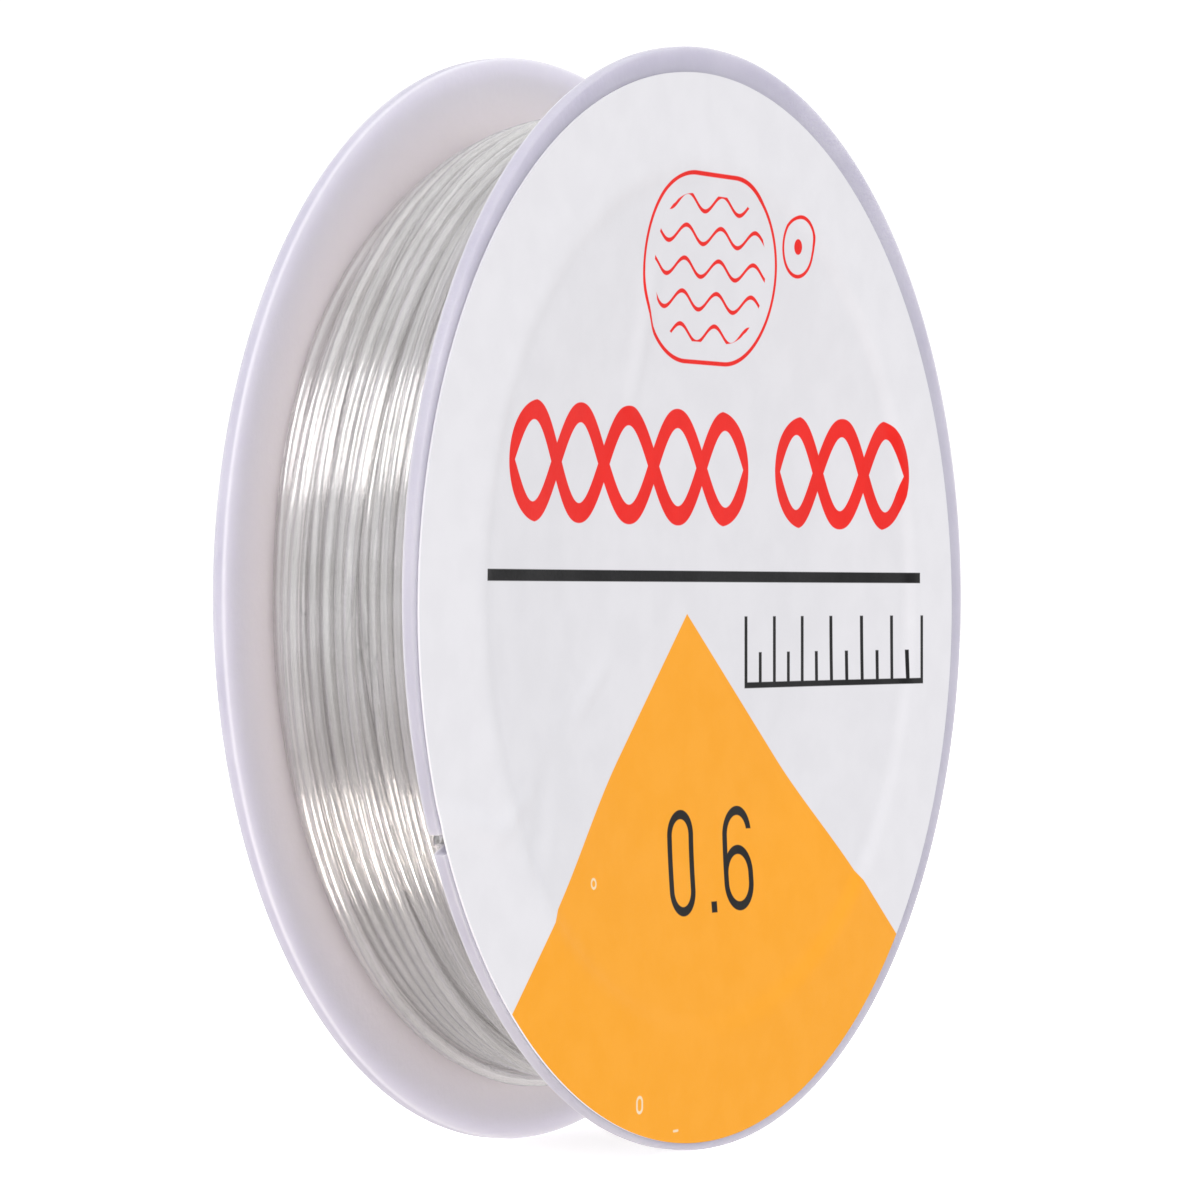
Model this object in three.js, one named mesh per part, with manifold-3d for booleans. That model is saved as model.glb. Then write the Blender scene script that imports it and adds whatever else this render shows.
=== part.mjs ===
// A flat two-flange spool of clear elastic line, standing on its rims.
//
// Millimetres, +Z up. The spool's axis is the Y axis and the origin lies on it, midway between the
// flanges. The front half, with the printed label, faces -Y. An angle round the axis is measured in
// the XZ plane from +X towards +Z.
//
// The spool is two mouldings of milky polypropylene. The front half is a flange with the barrel
// that the line is wound on. The back half is a flange with a collar that pushes into the barrel.

import * as THREE from 'three';
import { mergeVertices } from 'three/addons/utils/BufferGeometryUtils.js';
import Module from 'manifold-3d';

const wasm = await Module();
wasm.setup();

// Driving dimensions

const flangeRadius = 27;
const spoolWidth = 11;
const flangeThickness = 0.7;
const rimBevel = 0.15;

const barrelRadius = 21;
const barrelWall = 0.8;
const endGap = 0.05; // between the barrel's end and the back flange

const collarClearance = 0.05; // radial, so that the halves slide apart by hand
const collarWall = 0.8;
const collarDepth = 6;

const boreBevelWidth = 1.2; // radial size of the slope from each outer face into the hub
const boreBevelDepth = 0.6;

const lineDiameter = 0.6;
const lineLength = 10000;
const windingPacking = 0.68; // share of the winding's section that is line
const windingSideGap = 0.1;
const windingBarrelGap = 0.05;

const labelRadius = 26.15;
const labelThickness = 0.1;
const frontLabelOffset = { x: -0.55, z: -0.45 }; // the front label is stuck on a little off centre

const notchAngle = -155.7; // where the line's outer end leaves through the front rim
const notchWidth = 1;
const notchDepth = 1.2;

const startHoleAngle = 30; // where the line's inner end comes out of the hub
const startHoleRadius = 0.7;
const startHoleFromFront = 1.3; // from the front flange's inner face to the hole's centre

const roundSegments = 96;

// Places worked out from them

const halfWidth = spoolWidth / 2;
const innerFace = halfWidth - flangeThickness;
const barrelBore = barrelRadius - barrelWall;
const collarRadius = barrelBore - collarClearance;
const collarBore = collarRadius - collarWall;
const barrelEnd = innerFace - endGap;
const windingHalfWidth = innerFace - windingSideGap;
const windingInside = barrelRadius + windingBarrelGap;
const startHoleY = -innerFace + startHoleFromFront;

// The winding is as thick as the line's volume makes it.
const lineVolume = Math.PI * (lineDiameter / 2) ** 2 * lineLength;
const windingOutside = Math.sqrt(
  windingInside ** 2 + lineVolume / windingPacking / (Math.PI * 2 * windingHalfWidth),
);

// A closed outline of [radius, y] points, turned round the Y axis. The flats lie at top and bottom,
// so the spool stands on one.
function turned(outline) {
  const points = outline.map(([radius, y]) => new THREE.Vector2(radius, y));
  return new THREE.LatheGeometry(points, roundSegments, Math.PI / roundSegments);
}

function closed(outline) {
  return [...outline, outline[0]];
}

// A point at a radius and an angle in degrees round the axis.
function polar(radius, degrees, y) {
  const angle = THREE.MathUtils.degToRad(degrees);
  return new THREE.Vector3(radius * Math.cos(angle), y, radius * Math.sin(angle));
}

function solidOf(geometry) {
  const bare = geometry.clone();
  bare.deleteAttribute('normal');
  bare.deleteAttribute('uv');
  const merged = mergeVertices(bare, 1e-3);
  return new wasm.Manifold(new wasm.Mesh({
    numProp: 3,
    vertProperties: new Float32Array(merged.attributes.position.array),
    triVerts: new Uint32Array(merged.index.array),
  }));
}

function geometryOf(solid) {
  const mesh = solid.getMesh();
  const geometry = new THREE.BufferGeometry();
  geometry.setAttribute('position', new THREE.BufferAttribute(new Float32Array(mesh.vertProperties), 3));
  geometry.setIndex(new THREE.BufferAttribute(new Uint32Array(mesh.triVerts), 1));
  geometry.computeVertexNormals();
  return geometry;
}

const spool = new THREE.Group();

function add(name, geometry, surface) {
  const mesh = new THREE.Mesh(geometry, new THREE.MeshStandardMaterial(surface));
  mesh.name = name;
  spool.add(mesh);
  return mesh;
}

const milkyPlastic = { color: 0xd3d1de, roughness: 0.35, metalness: 0 };
const whitePaper = { color: 0xe7e7ec, roughness: 0.45, metalness: 0 };
const clearLine = { color: 0xc9c6c6, roughness: 0.2, metalness: 0 };

// Front half: the flange, and the barrel that the line is wound on. Its rim is notched for the
// line's outer end, and the barrel has a small hole for the inner end.

function flangeRim(face, inside) {
  const towardsInside = Math.sign(inside - face);
  return [
    [flangeRadius - rimBevel, face],
    [flangeRadius, face + towardsInside * rimBevel],
    [flangeRadius, inside - towardsInside * rimBevel],
    [flangeRadius - rimBevel, inside],
  ];
}

const barrelLeadIn = 0.2;
const frontOutline = closed([
  [barrelBore + boreBevelWidth, -halfWidth],
  ...flangeRim(-halfWidth, -innerFace),
  [barrelRadius, -innerFace],
  [barrelRadius, barrelEnd - barrelLeadIn],
  [barrelRadius - barrelLeadIn, barrelEnd],
  [barrelBore + barrelLeadIn, barrelEnd],
  [barrelBore, barrelEnd - barrelLeadIn],
  [barrelBore, -halfWidth + boreBevelDepth],
]);

function rimNotch() {
  const length = 2 * notchDepth;
  const cutHeight = 3 * flangeThickness;
  const foot = flangeRadius - notchDepth + notchWidth / 2;
  const slot = new THREE.BoxGeometry(length, cutHeight, notchWidth);
  slot.translate(foot + length / 2, 0, 0);
  const roundFoot = new THREE.CylinderGeometry(notchWidth / 2, notchWidth / 2, cutHeight, 16);
  roundFoot.translate(foot, 0, 0);
  const cut = solidOf(slot).add(solidOf(roundFoot));
  return cut
    .rotate([0, -notchAngle, 0])
    .translate([0, -(halfWidth + innerFace) / 2, 0]);
}

function startHole() {
  const drill = new THREE.CylinderGeometry(startHoleRadius, startHoleRadius, 4 * barrelWall, 16);
  drill.rotateZ(Math.PI / 2);
  drill.translate(barrelRadius - barrelWall / 2, startHoleY, 0);
  return solidOf(drill).rotate([0, -startHoleAngle, 0]);
}

const frontSolid = solidOf(turned(frontOutline))
  .subtract(rimNotch())
  .subtract(startHole());
add('front_half', geometryOf(frontSolid), milkyPlastic);

// Back half: the other flange, and the collar that pushes into the barrel and closes the spool.

const collarTip = innerFace - collarDepth;
const collarLeadIn = 0.2;
const backOutline = closed([
  [collarBore, halfWidth - boreBevelDepth],
  [collarBore, collarTip],
  [collarRadius - collarLeadIn, collarTip],
  [collarRadius, collarTip + collarLeadIn],
  [collarRadius, innerFace],
  ...flangeRim(halfWidth, innerFace).reverse(),
  [collarBore + boreBevelWidth, halfWidth],
]);
add('back_half', turned(backOutline), milkyPlastic);

// Labels: a round paper sticker on each outer face, over the hub's hollow.

function labelDisc(innerY, outerY) {
  const low = Math.min(innerY, outerY);
  const high = Math.max(innerY, outerY);
  return turned([
    [0, low],
    [labelRadius, low],
    [labelRadius, high],
    [0, high],
  ]);
}

const frontLabel = add('front_label', labelDisc(-halfWidth, -halfWidth - labelThickness), whitePaper);
frontLabel.position.set(frontLabelOffset.x, 0, frontLabelOffset.z);
add('back_label', labelDisc(halfWidth, halfWidth + labelThickness), whitePaper);

// The line: a ring with the outer shape of all the turns, and the line's two free ends.

const windingShoulder = 0.25;
const windingOutline = closed([
  [windingInside, -windingHalfWidth],
  [windingOutside - windingShoulder, -windingHalfWidth],
  [windingOutside, -windingHalfWidth + windingShoulder],
  [windingOutside, windingHalfWidth - windingShoulder],
  [windingOutside - windingShoulder, windingHalfWidth],
  [windingInside, windingHalfWidth],
]);
add('line_winding', turned(windingOutline), clearLine);

function lineAlong(points, steps) {
  const section = new THREE.Shape();
  section.absarc(0, 0, lineDiameter / 2, 0, 2 * Math.PI);
  return new THREE.ExtrudeGeometry(section, {
    curveSegments: 4,
    steps,
    extrudePath: new THREE.CatmullRomCurve3(points),
  });
}

// The outer end lifts off the last turn, rises beside the front flange and goes out through the
// notch, where the label holds it down.
const tailRise = [
  { radius: windingOutside + 0.6, ahead: 9, inFromFace: 1.1 },
  { radius: windingOutside + 0.8, ahead: 5, inFromFace: 0.85 },
  { radius: windingOutside + 1.5, ahead: 1.8, inFromFace: 0.5 },
  { radius: flangeRadius - 0.75, ahead: 0.1, inFromFace: -0.1 },
  { radius: flangeRadius - 0.7, ahead: 0, inFromFace: -flangeThickness + 0.05 },
];
const tailPoints = tailRise.map(
  (at) => polar(at.radius, notchAngle + at.ahead, -innerFace + at.inFromFace),
);
add('line_tail', lineAlong(tailPoints, 24), clearLine);

// The inner end comes up through the start hole from the hollow of the hub.
const startEndRadius = barrelBore - 1.6;
const startPoints = [
  polar(startEndRadius, startHoleAngle, startHoleY),
  polar((startEndRadius + barrelRadius) / 2, startHoleAngle, startHoleY),
  polar(barrelRadius - 0.2, startHoleAngle, startHoleY),
];
add('line_start', lineAlong(startPoints, 4), clearLine);

export default spool;
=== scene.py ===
"""A flat two-flange spool of clear elastic line, standing on its rims.

Metres, +Z up, in the CAD model's frame: the spool's axis is the Y axis, the origin lies on it midway
between the flanges, and the front half faces -Y. An angle round the axis is measured from +X to +Z.
"""

import math
from functools import reduce

import bmesh
import bpy
import numpy as np
from mathutils import Matrix, Vector


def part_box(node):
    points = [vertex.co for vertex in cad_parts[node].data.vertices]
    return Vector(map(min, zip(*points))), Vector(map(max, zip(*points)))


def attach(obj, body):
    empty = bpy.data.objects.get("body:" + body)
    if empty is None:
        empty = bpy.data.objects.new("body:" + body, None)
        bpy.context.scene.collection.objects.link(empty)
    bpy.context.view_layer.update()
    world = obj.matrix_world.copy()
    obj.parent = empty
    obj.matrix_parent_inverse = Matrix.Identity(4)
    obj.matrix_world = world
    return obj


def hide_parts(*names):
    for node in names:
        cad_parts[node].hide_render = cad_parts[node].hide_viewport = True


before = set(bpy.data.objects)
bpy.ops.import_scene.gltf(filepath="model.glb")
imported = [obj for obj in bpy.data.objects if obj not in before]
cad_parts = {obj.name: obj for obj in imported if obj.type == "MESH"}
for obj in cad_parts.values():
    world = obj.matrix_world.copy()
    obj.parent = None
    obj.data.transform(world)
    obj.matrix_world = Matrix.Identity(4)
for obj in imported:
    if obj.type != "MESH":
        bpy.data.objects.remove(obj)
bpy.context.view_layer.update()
mm = 0.001

# Camera. It stands level with the spool's axis, to the left of the front half, with a long lens.

camera_distance = 249 * mm
camera_azimuth = math.radians(-59.29)

camera = bpy.data.objects.new("camera", bpy.data.cameras.new("camera"))
camera.location = camera_distance * Vector((math.sin(camera_azimuth), -math.cos(camera_azimuth), 0))
camera.rotation_euler = (-camera.location).to_track_quat("-Z", "Y").to_euler()
camera.data.lens = 150.35
camera.data.sensor_width = 36
camera.data.shift_x = -0.0145
camera.data.shift_y = -0.0014
camera.data.clip_start = 10 * mm
bpy.context.scene.collection.objects.link(camera)
bpy.context.scene.camera = camera

# Front half. A thin flange and the barrel that the line is wound on, moulded in one piece from milky
# polypropylene. Its rim is notched for the line's outer end, and the barrel is pierced for the inner.

flange_radius = 27 * mm
flange_outer_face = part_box("back_half")[1].y
flange_inner_face = flange_outer_face - 0.7 * mm
barrel_radius = 21 * mm
barrel_bore = barrel_radius - 0.8 * mm
barrel_end = flange_inner_face - 0.05 * mm
bore_slope_width = 1.2 * mm
bore_slope_depth = 0.6 * mm
rim_round = 0.15 * mm
notch_angle = math.radians(-155.7)
notch_width = 1 * mm
notch_depth = 1.2 * mm
start_hole_angle = math.radians(30)
start_hole_radius = 0.7 * mm
start_hole_y = 1.3 * mm - flange_inner_face
round_steps = 720


def made_piece(name, bm):
    """Turns a finished bmesh into a piece of the scene."""
    mesh = bpy.data.meshes.new(name)
    bm.to_mesh(mesh)
    bm.free()
    piece = bpy.data.objects.new(name, mesh)
    bpy.context.scene.collection.objects.link(piece)
    return piece


def turned(outline, steps):
    """A bmesh of an outline of (radius, y) points turned about the Y axis."""
    bm = bmesh.new()
    corners = [bm.verts.new((radius, y, 0)) for radius, y in outline]
    edges = [bm.edges.new(pair) for pair in zip(corners, corners[1:])]
    bmesh.ops.spin(
        bm,
        geom=corners + edges,
        cent=(0, 0, 0),
        axis=(0, 1, 0),
        angle=math.tau,
        steps=steps,
        use_merge=True,
    )
    bmesh.ops.remove_doubles(bm, verts=bm.verts, dist=0.001 * mm)
    bmesh.ops.recalc_face_normals(bm, faces=bm.faces)
    return bm


def moulded(name, outline):
    """A moulding turned from a closed outline, with the two edges of its rim rounded over."""
    bm = turned([*outline, outline[0]], round_steps)
    on_rim = [math.isclose(math.hypot(v.co.x, v.co.z), flange_radius, rel_tol=1e-5) for v in bm.verts]
    rim_edges = [
        edge
        for edge in bm.edges
        if all(on_rim[vert.index] for vert in edge.verts)
        and math.isclose(edge.verts[0].co.y, edge.verts[1].co.y, abs_tol=0.001 * mm)
    ]
    bmesh.ops.bevel(
        bm,
        geom=rim_edges,
        offset=rim_round,
        offset_type="OFFSET",
        affect="EDGES",
        segments=3,
        profile=0.5,
        material=-1,
    )
    return made_piece(name, bm)


def round_cutter(name, radius, depth, place):
    bm = bmesh.new()
    bmesh.ops.create_cone(
        bm, cap_ends=True, segments=48, radius1=radius, radius2=radius, depth=depth, matrix=place
    )
    return made_piece(name, bm)


def block_cutter(name, size, place):
    bm = bmesh.new()
    bmesh.ops.create_cube(bm, size=1, matrix=place @ Matrix.Diagonal((*size, 1)))
    return made_piece(name, bm)


def cut(piece, cutters):
    """Takes the cutters' shapes out of the piece, and removes the cutters."""
    for cutter in cutters:
        modifier = piece.modifiers.new(cutter.name, "BOOLEAN")
        modifier.object = cutter
        modifier.operation = "DIFFERENCE"
        modifier.solver = "EXACT"
    bpy.context.view_layer.update()
    whole = piece.data
    piece.data = bpy.data.meshes.new_from_object(piece.evaluated_get(bpy.context.evaluated_depsgraph_get()))
    piece.data.name = whole.name
    piece.modifiers.clear()
    bpy.data.meshes.remove(whole)
    for cutter in cutters:
        bpy.data.objects.remove(cutter)


def smooth(piece):
    """Smooth shading, with the real edges kept sharp."""
    piece.data.shade_smooth()
    piece.data.set_sharp_from_angle(angle=math.radians(35))


def about_axis(angle, radius, y):
    """The place at a radius and an angle, with its own X pointing outwards."""
    return Matrix.Rotation(-angle, 4, "Y") @ Matrix.Translation((radius, y, 0))


front_half = moulded(
    "front_flange_and_barrel",
    [
        (barrel_bore + bore_slope_width, -flange_outer_face),
        (flange_radius, -flange_outer_face),
        (flange_radius, -flange_inner_face),
        (barrel_radius, -flange_inner_face),
        (barrel_radius, barrel_end),
        (barrel_bore, barrel_end),
        (barrel_bore, -flange_outer_face + bore_slope_depth),
    ],
)
notch_foot = flange_radius - notch_depth + notch_width / 2
notch_middle = -(flange_outer_face + flange_inner_face) / 2
across_flange = Matrix.Rotation(math.pi / 2, 4, "X")
across_barrel = Matrix.Rotation(math.pi / 2, 4, "Y")
cut(
    front_half,
    [
        round_cutter(
            "notch_foot",
            notch_width / 2,
            2 * mm,
            about_axis(notch_angle, notch_foot, notch_middle) @ across_flange,
        ),
        block_cutter(
            "notch_mouth",
            (2 * notch_depth, 2 * mm, notch_width),
            about_axis(notch_angle, notch_foot + notch_depth, notch_middle),
        ),
        round_cutter(
            "start_hole",
            start_hole_radius,
            3 * mm,
            about_axis(start_hole_angle, barrel_radius, start_hole_y) @ across_barrel,
        ),
    ],
)
smooth(front_half)


class Socket:
    """A node's output in a material. Arithmetic on it adds Math nodes."""

    def __init__(self, tree, output):
        self.tree = tree
        self.output = output

    def node(self, kind, settings, inputs, output=0):
        """Adds a node with its settings, then the values or links of its sockets."""
        made = self.tree.nodes.new(kind)
        for name, setting in settings.items():
            setattr(made, name, setting)
        for name, value in inputs.items():
            if isinstance(value, Socket):
                self.tree.links.new(value.output, made.inputs[name])
            else:
                made.inputs[name].default_value = value
        return Socket(self.tree, made.outputs[output]) if made.outputs else None

    def maths(self, operation, *others):
        return self.node("ShaderNodeMath", {"operation": operation}, dict(enumerate([self, *others])))

    def __add__(self, other):
        return self.maths("ADD", other)

    __radd__ = __add__

    def __sub__(self, other):
        return self.maths("SUBTRACT", other)

    def __rsub__(self, other):
        return self * -1 + other

    def __mul__(self, other):
        return self.maths("MULTIPLY", other)

    __rmul__ = __mul__

    def __truediv__(self, other):
        return self.maths("DIVIDE", other)

    def __abs__(self):
        return self.maths("ABSOLUTE")

    def between(self, low, high):
        """0 up to the low value and 1 from the high one, with a soft change between them."""
        settings = {"interpolation_type": "SMOOTHSTEP"}
        return self.node("ShaderNodeMapRange", settings, {"Value": self, "From Min": low, "From Max": high})

    def mixed(self, first, second):
        """The first colour where this mask is 0, and the second where it is 1."""
        return self.node("ShaderNodeMix", {"data_type": "RGBA"}, {0: self, 6: first, 7: second}, 2)

    def noise(self, scale, detail):
        return self.node("ShaderNodeTexNoise", {}, {"Vector": self, "Scale": scale, "Detail": detail})

    def bump(self, height):
        """The surface's normal, with this as its relief, height metres high."""
        return self.node("ShaderNodeBump", {}, {"Height": self, "Distance": height})


def colour(code):
    """A screen colour such as 0xd3d1de as linear values."""
    screen = [(code >> shift & 0xFF) / 255 for shift in (16, 8, 0)]
    linear = [c / 12.92 if c <= 0.04045 else ((c + 0.055) / 1.055) ** 2.4 for c in screen]
    return (*linear, 1)


def new_material(name):
    """An empty material, with the place on the object and its x, y and z, in millimetres."""
    material = bpy.data.materials.new(name)
    material.use_nodes = True
    tree = material.node_tree
    tree.nodes.clear()
    metres = Socket(tree, tree.nodes.new("ShaderNodeTexCoord").outputs["Object"])
    place = metres.node("ShaderNodeVectorMath", {"operation": "SCALE"}, {0: metres, "Scale": 1 / mm})
    axes = [place.node("ShaderNodeSeparateXYZ", {}, {0: place}, axis) for axis in "XYZ"]
    return material, place, *axes


def milky_plastic():
    """Milky polypropylene. Light comes through the flanges; between them the plastic is painted lighter and
    pinker near the line, with emission as painted light.
    """
    material, place, x, y, z = new_material("milky_polypropylene")
    radius = (x * x + z * z).maths("SQRT")
    inner_face = abs(y).between(5.0, 4.82)
    outside = place.noise(0.18, 3).between(0.3, 0.7).mixed(colour(0xACAAB8), colour(0xB4B2BF))
    # Painted light: between the flanges the plastic is a lighter copy of its outside, lighter and pinker
    # still near the line.
    painted_light_between_flanges = radius.between(23.5, 27).mixed(colour(0xDCD4DB), colour(0xCCCAD6))
    # Painted light: emission on the inner faces, bright near the line and dim at the rim, for light that
    # comes through the plastic.
    painted_glow_by_radius = radius.between(22.5, 27.5).mixed(colour(0xFFF0F2), colour(0x545257))
    painted_glow = inner_face.mixed(colour(0x000000), painted_glow_by_radius)
    surface = place.node("ShaderNodeBsdfPrincipled", {}, {
        "Base Color": inner_face.mixed(outside, painted_light_between_flanges),
        "Emission Color": painted_glow,
        "Emission Strength": 0.17,
        "Roughness": place.noise(0.8, 3) * 0.2 + 0.28,
        "Subsurface Weight": 0.8,
        "Subsurface Radius": (1.0, 0.95, 1.1),
        "Subsurface Scale": 2 * mm,
        "Normal": place.noise(2.5, 3).bump(0.02 * mm),
    })
    surface.node("ShaderNodeOutputMaterial", {}, {"Surface": surface})
    return material


polypropylene = milky_plastic()
front_half.data.materials.append(polypropylene)
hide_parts("front_half")
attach(front_half, "front")

# The line. One 10 m length of clear elastic line, 0.6 mm thick. Its inner end comes out of the hub
# through the barrel's hole, it is wound to and fro by machine, and the outer end leaves by the rim.

line_diameter = 0.6 * mm

turn_stations = 96
station_angle = math.tau / turn_stations
whole_turns = 71
last_stations = 44
station_count = whole_turns * turn_stations + last_stations
winding_start_angle = start_hole_angle - station_angle
traverse_passes = 6
traverse_reach = flange_inner_face - line_diameter / 2 - 0.05 * mm
wander = 0.35 * mm
draws = np.random.default_rng(5)


def laid_sideways():
    """How far along the axis each station lies: the traverse to and fro, and its unevenness."""
    station = np.arange(station_count)
    turn = station / turn_stations
    sweep = traverse_passes * station / station_count
    side = traverse_reach * (2 * np.abs((sweep + 1) % 2 - 1) - 1)
    for waves_per_turn in (1, 2, 3, 5):
        height = wander / math.sqrt(waves_per_turn) * draws.uniform(0.6, 1.2)
        phase = draws.uniform(0, math.tau) + draws.uniform(-0.5, 0.5) * turn
        side += height * np.sin(waves_per_turn * math.tau * turn + phase)
    knot = 4 * turn
    before = knot.astype(int)
    between = (knot - before) ** 2 * (3 - 2 * (knot - before))
    slips = 0.7 * wander * draws.normal(0, 1, int(knot[-1]) + 2)
    side += (1 - between) * slips[before] + between * slips[before + 1]
    return np.clip(side, -traverse_reach, traverse_reach)


def laid_on(side):
    """The radius at which each station comes to lie on the barrel and on the earlier turns."""
    radius = np.zeros(station_count)
    laid = [[] for _ in range(turn_stations)]
    for station, here in enumerate(side):
        below = laid[station % turn_stations]
        radius[station] = barrel_radius + line_diameter / 2
        for there, height in below:
            apart = abs(here - there)
            if apart < line_diameter:
                radius[station] = max(radius[station], height + math.sqrt(line_diameter**2 - apart**2))
        below.append((here, radius[station]))
    return radius


def pulled_tight(side, radius):
    """The same stations after the line's tension has drawn them in, each turn into the gaps below."""
    sweeps = 250
    tension = 0.5
    push_apart = 0.45
    inward = 0.014 * mm
    turns = math.ceil(station_count / turn_stations)
    unused = turns * turn_stations - station_count
    far_away = np.stack([1 + np.arange(unused), np.zeros(unused)], axis=1)
    same = np.arange(turns)
    for sweep in range(sweeps):
        for place in (side, radius):
            place[1:-1] += tension * ((place[:-2] + place[2:]) / 2 - place[1:-1])
        radius -= inward * (1 - sweep / sweeps)
        stations = np.concatenate([np.stack([side, radius], axis=1), far_away])
        stations = stations.reshape(turns, turn_stations, 2).transpose(1, 0, 2)
        apart = stations[:, :, None] - stations[:, None]
        distance = np.linalg.norm(apart, axis=3) + 1e-9
        overlap = np.maximum(line_diameter - distance, 0)
        overlap[:, same, same] = 0
        stations = stations + push_apart * (apart * (overlap / distance)[..., None]).sum(axis=2)
        stations = stations.transpose(1, 0, 2).reshape(-1, 2)[:station_count]
        side = np.clip(stations[:, 0], -traverse_reach, traverse_reach)
        radius = np.maximum(stations[:, 1], barrel_radius + line_diameter / 2)
    return side, radius


def round_axis(radius, angle, y):
    return Vector((radius * math.cos(angle), y, radius * math.sin(angle)))


def smooth_through(points, steps):
    """Points on the smooth curve through the given ones, without the last."""
    ends = [2 * points[0] - points[1], *points, 2 * points[-1] - points[-2]]
    route = []
    for a, b, c, d in zip(ends, ends[1:], ends[2:], ends[3:]):
        for step in range(steps):
            t = step / steps
            route.append(
                b
                + (c - a) * t / 2
                + (2 * a - 5 * b + 4 * c - d) * t**2 / 2
                + (3 * b - a - 3 * c + d) * t**3 / 2
            )
    return route


def start_route():
    """Straight out of the hub's hollow through the hole, then round a quarter turn onto the barrel."""
    bend = 2 * line_diameter
    bend_steps = 7
    free_end_radius = barrel_bore - 1.6 * mm
    straight = 0.8 * mm
    lying = barrel_radius + line_diameter / 2
    outward = round_axis(1, start_hole_angle, 0)
    onward = round_axis(1, start_hole_angle - math.pi / 2, 0)
    along = Vector((0, start_hole_y, 0))
    route = [along + outward * free_end_radius, along + outward * (free_end_radius + straight)]
    for step in range(bend_steps):
        bent_by = step / bend_steps * math.pi / 2
        route.append(
            along
            + outward * (lying - bend + bend * math.sin(bent_by))
            + onward * bend * (1 - math.cos(bent_by))
        )
    return route


def tail_route(winding_end):
    """Off the last turn, up beside the front flange and out through the notch, under the label."""
    wound_radius = 24.16 * mm
    rise = [
        (wound_radius + 0.6 * mm, 9, 1.1 * mm),
        (wound_radius + 0.8 * mm, 5, 0.85 * mm),
        (wound_radius + 1.5 * mm, 1.8, 0.5 * mm),
        (flange_radius - 0.75 * mm, 0.1, -0.1 * mm),
        (flange_radius - 0.7 * mm, 0, -0.65 * mm),
    ]
    points = [
        round_axis(radius, notch_angle + math.radians(ahead), in_from_face - flange_inner_face)
        for radius, ahead, in_from_face in rise
    ]
    return smooth_through([winding_end, *points], 6)[1:] + [points[-1]]


sideways = laid_sideways()
sides, radii = pulled_tight(sideways, laid_on(sideways))
winding = [
    round_axis(radius, winding_start_angle - station * station_angle, side)
    for station, (side, radius) in enumerate(zip(sides, radii))
]
line_route = start_route() + winding + tail_route(winding[-1])

line_curve = bpy.data.curves.new("elastic_line", "CURVE")
line_curve.dimensions = "3D"
line_curve.bevel_depth = line_diameter / 2
line_curve.bevel_resolution = 4
line_curve.use_fill_caps = True
spline = line_curve.splines.new("POLY")
spline.points.add(len(line_route) - 1)
for spline_point, place in zip(spline.points, line_route):
    spline_point.co = (*place, 1)
spline.use_smooth = True
line = bpy.data.objects.new("elastic_line", line_curve)
bpy.context.scene.collection.objects.link(line)


def clear_elastic():
    """Clear elastomer. Its faint emission is painted light, for the light that gathers between the many
    clear turns.
    """
    material, place, _, _, _ = new_material("clear_elastic")
    surface = place.node("ShaderNodeBsdfPrincipled", {}, {
        "Base Color": place.noise(0.35, 2).between(0.35, 0.65).mixed(colour(0xF3F2F1), colour(0xFAF9F9)),
        "Roughness": place.noise(1.5, 2) * 0.06 + 0.04,
        "IOR": 1.46,
        "Transmission Weight": 1.0,
        "Coat Weight": 1.0,
        "Coat Roughness": 0.17,
        "Coat IOR": 2.6,
        "Normal": place.noise(3, 2).bump(0.01 * mm),
        # Painted light: a faint even emission over the whole line.
        "Emission Color": colour(0xF3EFEE),
        "Emission Strength": 0.014,
    })
    surface.node("ShaderNodeOutputMaterial", {}, {"Surface": surface})
    return material


line_curve.materials.append(clear_elastic())
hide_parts("line_winding", "line_tail", "line_start")
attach(line, "front")
round_axis(barrel_radius, start_hole_angle, start_hole_y)

# Back half. The other flange, with a collar that is pushed into the barrel and holds the spool shut.

collar_radius = barrel_bore - 0.05 * mm
collar_bore = collar_radius - 0.8 * mm
collar_tip = flange_inner_face - 6 * mm

back_half = moulded(
    "back_flange_and_collar",
    [
        (collar_bore, flange_outer_face - bore_slope_depth),
        (collar_bore, collar_tip),
        (collar_radius, collar_tip),
        (collar_radius, flange_inner_face),
        (flange_radius, flange_inner_face),
        (flange_radius, flange_outer_face),
        (collar_bore + bore_slope_width, flange_outer_face),
    ],
)
smooth(back_half)
back_half.data.materials.append(polypropylene)
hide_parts("back_half")
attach(back_half, "back")

# Front label. A round sticker of coated paper over the flange and the hub's open end. It sags a little
# over the hub, is creased in a few places, and is printed in orange, red and black.

label_radius = 26.15 * mm
label_thickness = 0.1 * mm
front_label_offset = Vector((-0.55 * mm, 0, -0.45 * mm))
hub_step = 0.2 * mm
hub_sag = 0.6 * mm
hub_flat_radius = 11 * mm
label_rings = 66
label_steps = 360


def ease(share):
    share = min(max(share, 0), 1)
    return share * share * (3 - 2 * share)


def sunk_into_hub(place, hub_edge):
    """How far the paper lies below the flange's outer face, over the open end of the hub."""
    radius = math.hypot(place.x, place.z)
    step = hub_step * ease((hub_edge - radius) / (1 * mm))
    return step + hub_sag * ease((hub_edge - radius) / (hub_edge - hub_flat_radius))


def crease(place, start, end, height, width):
    """The height of a crease that runs from start to end, two (x, z) points in millimetres.

    It is highest half way along, and flattens out to its width on both sides.
    """
    start, end = (Vector((x * mm, 0, z * mm)) for x, z in (start, end))
    along = end - start
    share = min(max((place - start).dot(along) / along.length_squared, 0), 1)
    aside = (place - start - share * along).length
    return height * mm * math.sin(math.pi * (0.15 + 0.7 * share)) * ease(1 - aside / (width * mm))


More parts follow.
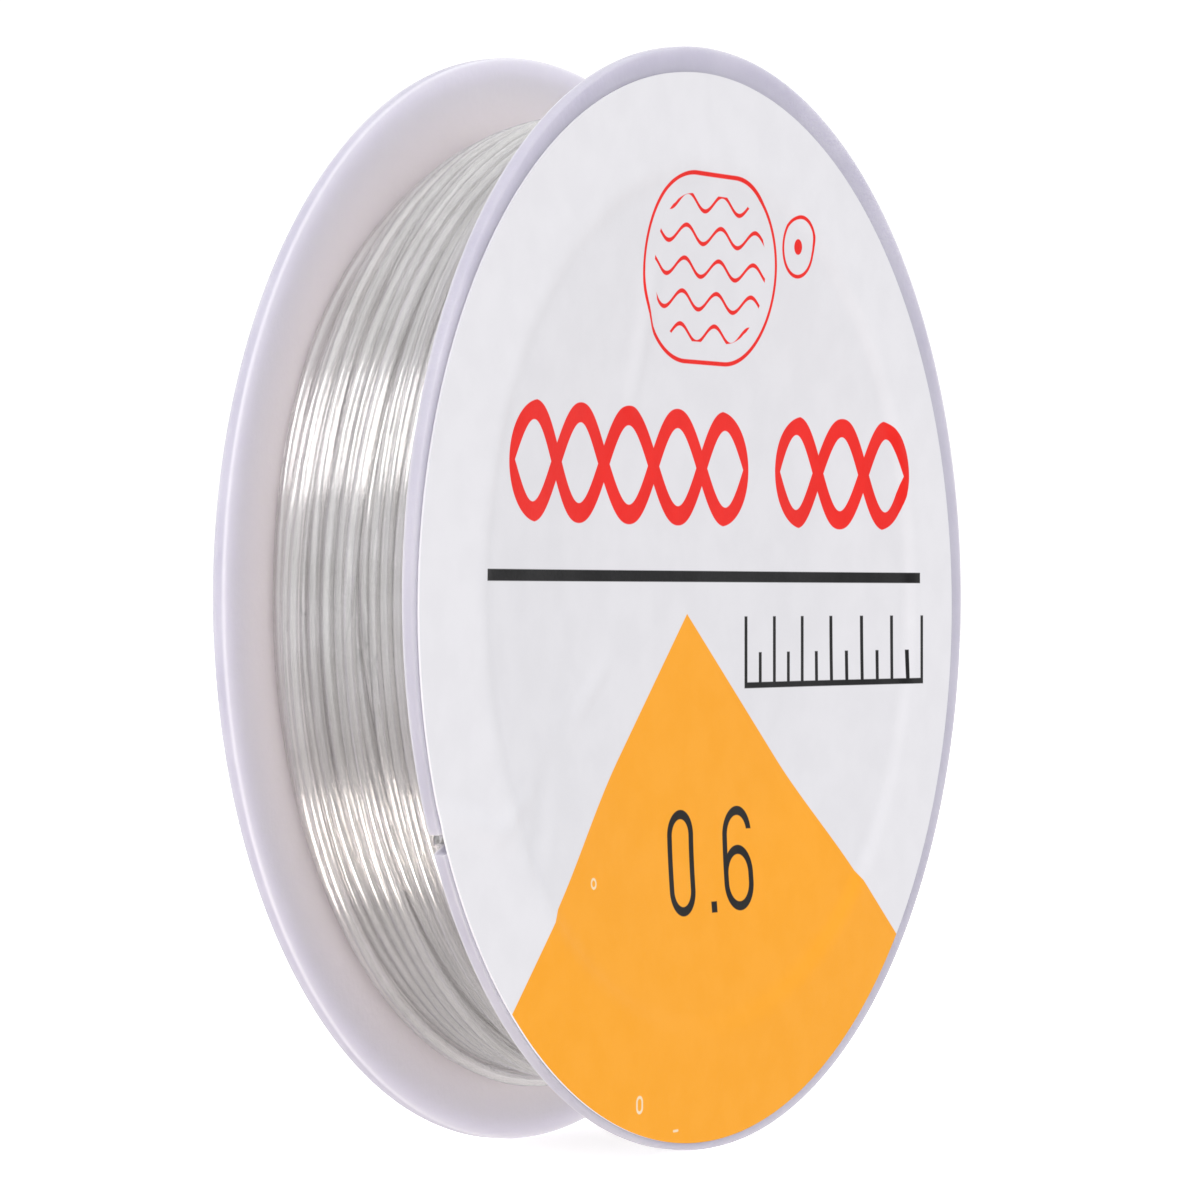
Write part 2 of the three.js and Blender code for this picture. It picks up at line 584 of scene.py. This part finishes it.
def front_relief(place):
    """How far the front label stands out from the flange's outer face."""
    place = Vector((place.x, 0, place.z))
    hub_edge = barrel_bore + bore_slope_width
    return (
        crease(place, (-5.2, 15.5), (-6.8, 9.5), 0.16, 1.1)
        + crease(place, (-9.2, -3.2), (-12.0, -5.6), 0.09, 0.9)
        - crease(place, (-15.2, -8.0), (-16.4, -12.8), 0.13, 1.3)
        + crease(place, (-24.4, -9.9), (-19.0, -11.0), 0.14, 0.9)
        + crease(place, (-20.5, -10.9), (-16.8, -9.0), 0.11, 0.8)
        - sunk_into_hub(place, hub_edge)
    )


def back_relief(place):
    """How far the back label stands out from the flange's outer face."""
    return -sunk_into_hub(place, collar_bore + bore_slope_width)


def paper_disc(name, offset, outwards, relief, face_material):
    """A paper disc on the outer face that looks along outwards, -1 or 1 along the axis.

    The face material is on its outer face, and bare paper on its stuck side and its cut edge.
    """
    radii = [label_radius * ring / label_rings for ring in range(label_rings + 1)]
    stuck_side = [(radius, 0) for radius in radii]
    printed_side = [(radius, label_thickness) for radius in reversed(radii)]
    bm = turned(stuck_side + printed_side, label_steps)
    for vert in bm.verts:
        place = vert.co + offset
        height = flange_outer_face + vert.co.y + relief(place)
        vert.co = Vector((place.x, outwards * height, place.z))
    if outwards < 0:
        bmesh.ops.reverse_faces(bm, faces=bm.faces)
    bm.normal_update()
    for face in bm.faces:
        face.material_index = int(face.normal.y * outwards < 0.5)
    disc = made_piece(name, bm)
    smooth(disc)
    disc.data.materials.append(face_material)
    disc.data.materials.append(bare_paper)
    return disc


# The print is drawn with distances in millimetres, below zero inside a shape. x and z are the place.


def inside(*distances):
    """The distance to what lies inside every one of some shapes."""
    return reduce(lambda a, b: a.maths("MAXIMUM", b), distances)


def either(*distances):
    """The distance to what lies inside any of some shapes."""
    return reduce(lambda a, b: a.maths("MINIMUM", b), distances)


def box(x, z, left, right, low, high):
    return inside(left - x, x - right, low - z, z - high)


def left_of(x, z, start, end):
    """The distance to the left of the line from start to end."""
    rise, run = end[1] - start[1], end[0] - start[0]
    return ((z - start[1]) * run - (x - start[0]) * rise) * (1 / math.hypot(rise, run))


def slot(x, z, centre, half_x, half_z, radius):
    """A disc of that radius, drawn out to both sides by half_x and half_z."""
    across = (abs(x - centre[0]) - half_x).maths("MAXIMUM", 0)
    upright = (abs(z - centre[1]) - half_z).maths("MAXIMUM", 0)
    return (across * across + upright * upright).maths("SQRT") - radius


def line_round(shape, width):
    """The line of that width along a shape's edge."""
    return abs(shape) - width / 2


def twisted_cord(x, z, left, right, twists, middle, height, width):
    """A cord of two strands that cross, as two waves drawn with a line of that width."""
    waviness = math.pi * twists / (right - left)
    swing = (height - width) / 2
    angle = (x - left) * waviness
    wave = angle.maths("SINE") * swing
    slope = angle.maths("COSINE") * (swing * waviness)
    off_strands = either(abs(z - middle - wave), abs(z - middle + wave))
    strands = off_strands / (slope * slope + 1).maths("SQRT") - width / 2
    outline = slot(x, z, ((left + right) / 2, middle), (right - left - height) / 2, 0, height / 2)
    return inside(strands, outline)


def water_badge(x, z):
    """A long ring round a few level waves."""
    centre = (0.3, 16.2)
    wave_spacing = 1.6
    thin = 0.22
    wave = ((x - centre[0]) * (math.tau / 3.4)).maths("SINE") * 0.42
    waves = (z - centre[1] - wave).maths("PINGPONG", wave_spacing / 2) - thin / 2
    return either(
        line_round(slot(x, z, centre, 1.9, 0, 4.6), thin),
        inside(waves, slot(x, z, centre, 1.9, 0, 3.6)),
    )


def measuring_scale(x, z, left, right, low, high):
    """A base line with long and short marks."""
    pitch = (right - left) / 12
    thin = 0.3
    long_marks = (x - left).maths("PINGPONG", pitch) - thin / 2
    short_marks = (x - left).maths("PINGPONG", pitch / 2) - thin / 2
    return either(
        inside(long_marks, box(x, z, left - thin, right + thin, low, high)),
        inside(short_marks, box(x, z, left - thin, right + thin, low, (low + high) / 2)),
        box(x, z, left - thin / 2, right + thin / 2, low, low + thin),
    )


def thickness_figures(x, z):
    """The line's thickness, 0.6, in tall thin figures."""
    middle = -12.93
    pen = 0.46
    nought = line_round(slot(x, z, (-2.1, middle), 0, 1.32, 1.05), pen)
    point = box(x, z, 0.65, 1.2, -15.5, -14.95)
    six_centre = 3.5
    six_body = line_round(slot(x, z, (six_centre, middle), 0, 1.17, 1.2), pen)
    six_stem = inside(six_body, either(x - six_centre, -11.5 - z))
    six_bowl = line_round(slot(x, z, (six_centre, -13.9), 0, 0.2, 1.2), pen)
    return either(nought, point, six_stem, six_bowl)


def front_print(x, z):
    """The front label's inks in printing order: two shades of each, and the distance to its shapes."""
    wedge_tip = (-1.4, -0.76)
    wedge = inside(left_of(x, z, (-18.6, -18.8), wedge_tip), left_of(x, z, wedge_tip, (19.6, -17.9)))
    misprints = either(
        line_round(slot(x, z, (-10.95, -13.5), 0, 0, 0.22), 0.12),
        line_round(slot(x, z, (-7.35, -24.25), 0, 0.12, 0.25), 0.14),
        slot(x, z, (-3.9, -25.8), 0.2, 0, 0.06),
    )
    red = either(
        water_badge(x, z),
        line_round(slot(x, z, (8.9, 17.8), 0, 0, 1.5), 0.2),
        slot(x, z, (8.9, 17.8), 0, 0, 0.4),
        twisted_cord(x, z, -18.75, 4.75, 5, 6.4, 5.7, 0.95),
        twisted_cord(x, z, 7.5, 20.65, 3, 6.4, 5.7, 0.95),
    )
    black = either(
        box(x, z, -20.8, 21.9, 0.8, 1.35),
        measuring_scale(x, z, 4.5, 22.1, -4.5, -0.9),
        thickness_figures(x, z),
    )
    return [
        (colour(0xF3A322), colour(0xF5A62A), wedge),
        (colour(0xEFD8B4), colour(0xF2DFC0), misprints),
        (colour(0xE41C14), colour(0xEA221A), red),
        (colour(0x0E0E10), colour(0x1A1A1C), black),
    ]


def printed_paper(name, inks):
    """Coated white paper under its inks, with painted shade: it is a little darker where the hollow hub
    lies behind it.
    """
    material, place, x, _, z = new_material(name)
    mottle = place.noise(0.5, 4).between(0.3, 0.7)
    fibres = place.noise(6, 3)
    over_flange = (x * x + z * z).maths("SQRT").between(20.3, 21.4)
    backed = mottle.mixed(colour(0xDFDFE4), colour(0xE2E2E7))
    # Painted shade: the paper over the hub's hollow is a darker copy of the backed paper.
    painted_shade_over_hollow = mottle.mixed(colour(0xDBDBE0), colour(0xDEDEE3))
    tint = over_flange.mixed(painted_shade_over_hollow, backed)
    for shade, other_shade, distance in inks(x, z):
        tint = distance.between(0.03, -0.03).mixed(tint, mottle.mixed(shade, other_shade))
    surface = place.node("ShaderNodeBsdfPrincipled", {}, {
        "Base Color": tint,
        "Roughness": fibres * 0.2 + 0.35,
        "Specular IOR Level": 0.1,
        "Normal": fibres.bump(0.004 * mm),
    })
    surface.node("ShaderNodeOutputMaterial", {}, {"Surface": surface})
    return material


def unprinted(x, z):
    return []


bare_paper = printed_paper("bare_paper", unprinted)
front_face = printed_paper("front_print", front_print)
front_label = paper_disc("front_paper_label", front_label_offset, -1, front_relief, front_face)
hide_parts("front_label")
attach(front_label, "front")

# Back label. A plain paper sticker of the same size on the back flange, with one printed ring.


def back_print(x, z):
    return [(colour(0xF3A322), colour(0xF5A62A), line_round(slot(x, z, (0, 0), 0, 0, 23.3), 1.6))]


back_face = printed_paper("back_print", back_print)
back_label = paper_disc("back_paper_label", Vector(), 1, back_relief, back_face)
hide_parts("back_label")
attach(back_label, "back")

# Floor, light and picture. A plain white table in a white room that is dimmer below the table, with
# one soft light from the upper left and one from below. The table takes shadow and casts no light.

floor_mesh = bpy.data.meshes.new("floor")
floor_shape = bmesh.new()
floor_height = Matrix.Translation((0, 0, -flange_radius))
bmesh.ops.create_grid(floor_shape, x_segments=1, y_segments=1, size=3, matrix=floor_height)
floor_shape.to_mesh(floor_mesh)
floor_shape.free()
floor = bpy.data.objects.new("floor", floor_mesh)
floor.visible_shadow = False
floor.visible_diffuse = False
floor.visible_glossy = False
floor.visible_transmission = False
bpy.context.scene.collection.objects.link(floor)


def white_table():
    material, place, _, _, _ = new_material("white_table")
    surface = place.node("ShaderNodeBsdfPrincipled", {}, {
        "Base Color": place.noise(0.02, 1).mixed(colour(0xF4F4F6), colour(0xF8F8FA)),
        "Roughness": 0.7,
        "Emission Color": (1, 1, 1, 1),
        "Emission Strength": 0.6,
    })
    surface.node("ShaderNodeOutputMaterial", {}, {"Surface": surface})
    return material


floor.data.materials.append(white_table())


light_distance = 0.6
light_width = 0.26
light_height = 0.25


def soft_light(name, tint, direction, power):
    """A rectangular light that faces the spool's middle."""
    light = bpy.data.objects.new(name, bpy.data.lights.new(name, "AREA"))
    light.data.shape = "RECTANGLE"
    light.data.size = light_width
    light.data.size_y = light_height
    light.data.energy = power
    light.data.color = colour(tint)[:3]
    light.location = Vector(direction).normalized() * light_distance
    light.rotation_euler = light.location.to_track_quat("Z", "Y").to_euler()
    light.visible_camera = False
    bpy.context.scene.collection.objects.link(light)


soft_light("upper_left_light", 0xFFFCFA, (-0.78, -0.16, 0.58), 1.1)
soft_light("under_table_light", 0xFFF6EE, (-0.55, -0.08, -0.80), 1.6)


def white_room():
    """White all round at and above the table's level, and dimmer below it."""
    world = bpy.data.worlds.new("white_room")
    world.use_nodes = True
    tree = world.node_tree
    tree.nodes.clear()
    direction = Socket(tree, tree.nodes.new("ShaderNodeTexCoord").outputs["Generated"])
    height = direction.node("ShaderNodeSeparateXYZ", {}, {0: direction}, "Z")
    room = height.between(-0.6, 0).mixed(colour(0xD9D5D4), colour(0xFFFFFF))
    light = room.node("ShaderNodeBackground", {}, {"Color": room, "Strength": 1.1})
    light.node("ShaderNodeOutputWorld", {}, {"Surface": light})
    return world


bpy.context.scene.world = white_room()
bpy.context.scene.view_settings.view_transform = "Standard"
